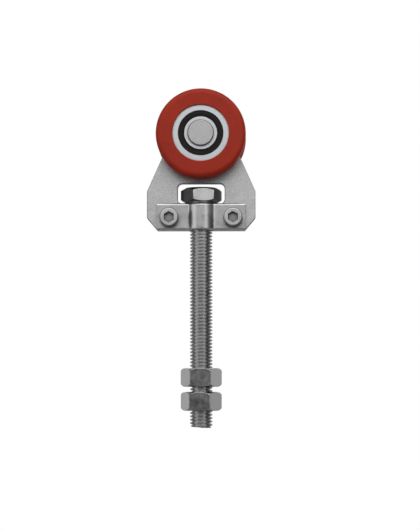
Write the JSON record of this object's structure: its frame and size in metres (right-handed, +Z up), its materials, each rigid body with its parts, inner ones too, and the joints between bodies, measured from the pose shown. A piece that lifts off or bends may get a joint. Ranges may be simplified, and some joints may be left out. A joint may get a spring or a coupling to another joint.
{
  "type": "twin-wheel sliding door hanger",
  "caption": "Top-hung door hanger: wheels on ball bearings each side of a plate, with a swivelling threaded bolt and nuts that carry the door.",
  "frame": {"origin": "centre of the wheels' axle, midway between the wheels", "axes": "+X along the track, +Y along the axle, +Z up; the clamp screws' heads face -Y"},
  "size_m": [0.0486, 0.029, 0.1504],
  "materials": {
    "plate_steel": "matt zinc plated sheet",
    "strap_steel": "satin zinc plated",
    "axle_steel": "satin",
    "wheel_plastic": "satin moulded",
    "bearing_steel": "ground",
    "cage_plastic": "moulded",
    "seal_rubber": "matt",
    "screw_steel": "satin zinc plated",
    "bolt_steel": "dull zinc plated",
    "nut_steel": "dull zinc plated"
  },
  "bodies": {
    "hanger": {"hanger_plate": "plate_steel", "axle": "axle_steel", "front_spacer": "axle_steel", "rear_spacer": "axle_steel", "front_bearing_inner_ring": "bearing_steel", "rear_bearing_inner_ring": "bearing_steel", "front_strap": "strap_steel", "rear_strap": "strap_steel", "clamp_screw_left": "screw_steel", "clamp_screw_right": "screw_steel", "clamp_nut_left": "screw_steel", "clamp_nut_right": "screw_steel"},
    "front_wheel": {"front_tyre": "wheel_plastic", "front_bearing_outer_ring": "bearing_steel", "front_outer_seal": "seal_rubber", "front_inner_seal": "seal_rubber"},
    "rear_wheel": {"rear_tyre": "wheel_plastic", "rear_bearing_outer_ring": "bearing_steel", "rear_outer_seal": "seal_rubber", "rear_inner_seal": "seal_rubber"},
    "front_cage": {"front_bearing_cage": "cage_plastic", "front_bearing_balls": "bearing_steel"},
    "rear_cage": {"rear_bearing_cage": "cage_plastic", "rear_bearing_balls": "bearing_steel"},
    "bolt": {"hanger_bolt": "bolt_steel"},
    "upper_nut": {"upper_nut": "nut_steel"},
    "lower_nut": {"lower_nut": "nut_steel"}
  },
  "joints": [
    {"name": "front_wheel_spin", "type": "hinge", "parent": "hanger", "child": "front_wheel", "pos_m": [0, -0.009, 0], "axis": [0, 1, 0], "continuous": true},
    {"name": "rear_wheel_spin", "type": "hinge", "parent": "hanger", "child": "rear_wheel", "pos_m": [0, 0.009, 0], "axis": [0, 1, 0], "continuous": true},
    {"name": "front_cage_spin", "type": "hinge", "parent": "hanger", "child": "front_cage", "pos_m": [0, -0.009, 0], "axis": [0, 1, 0], "continuous": true},
    {"name": "rear_cage_spin", "type": "hinge", "parent": "hanger", "child": "rear_cage", "pos_m": [0, 0.009, 0], "axis": [0, 1, 0], "continuous": true},
    {"name": "bolt_swivel", "type": "hinge", "parent": "hanger", "child": "bolt", "pos_m": [0, 0, -0.0304], "axis": [0, 0, 1], "continuous": true},
    {"name": "upper_nut_travel", "type": "slide", "parent": "bolt", "child": "upper_nut", "axis": [0, 0, 1], "range_m": [-0.001, 0.061]},
    {"name": "lower_nut_travel", "type": "slide", "parent": "bolt", "child": "lower_nut", "axis": [0, 0, 1], "range_m": [-0.0075, 0.001]}
  ],
  "couplings": [
    {"joint": "front_cage_spin", "follows": "front_wheel_spin", "ratio": 0.63231},
    {"joint": "rear_cage_spin", "follows": "rear_wheel_spin", "ratio": 0.63231}
  ]
}
